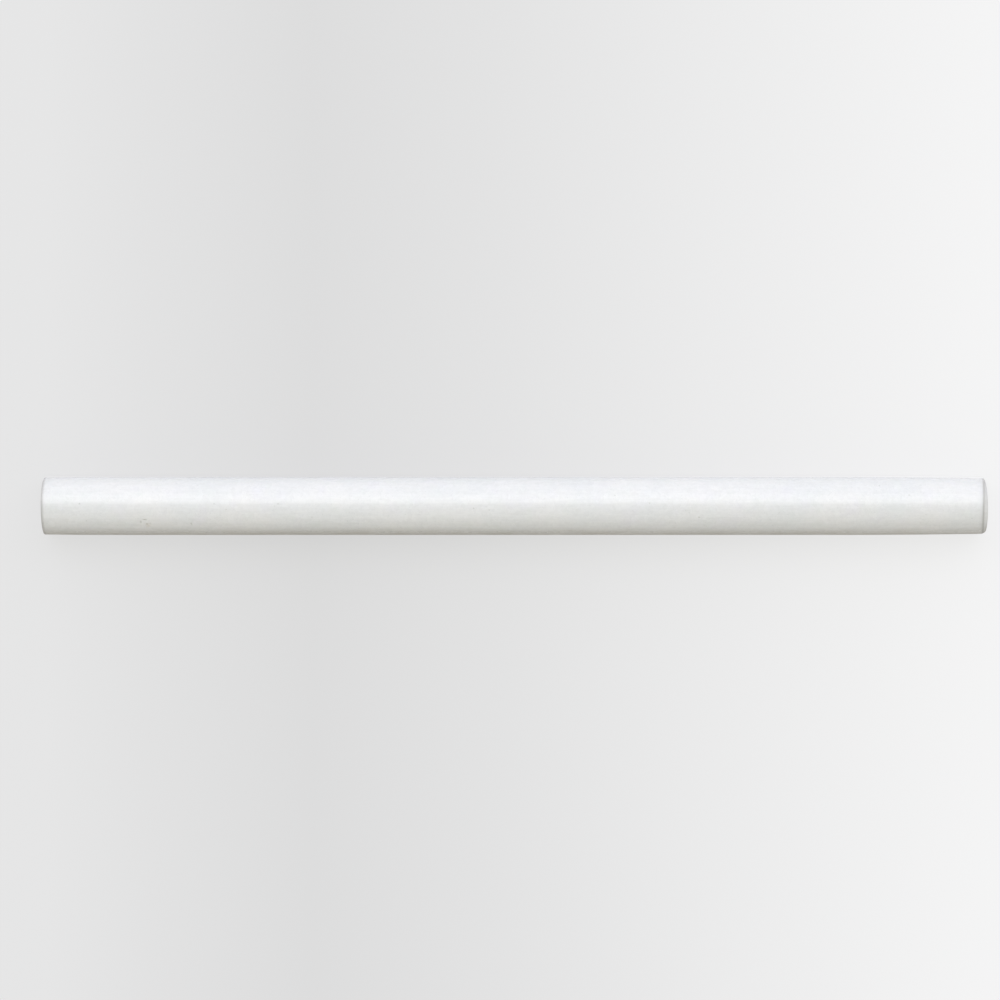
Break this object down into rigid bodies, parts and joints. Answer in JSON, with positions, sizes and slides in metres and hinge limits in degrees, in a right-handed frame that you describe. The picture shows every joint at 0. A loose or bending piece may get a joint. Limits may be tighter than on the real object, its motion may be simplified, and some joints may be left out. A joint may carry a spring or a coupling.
{
  "type": "pencil liner trim tile",
  "caption": "Slim polished white marble trim strip with a half-round face, flat sides and a flat sawn back for bonding to a wall.",
  "frame": {"origin": "middle of the flat sawn back, at the foot of the tile as it lies with its dome up", "axes": "+X along the tile towards the end with the ground arris, +Y across it, +Z out of the back towards the crown of the half-round face"},
  "size_m": [0.305, 0.0188, 0.019],
  "materials": {
    "marble": "polished on the face and sides, sawn on the back and ends"
  },
  "bodies": {
    "root": {"pencil_liner": "marble"}
  },
  "joints": []
}
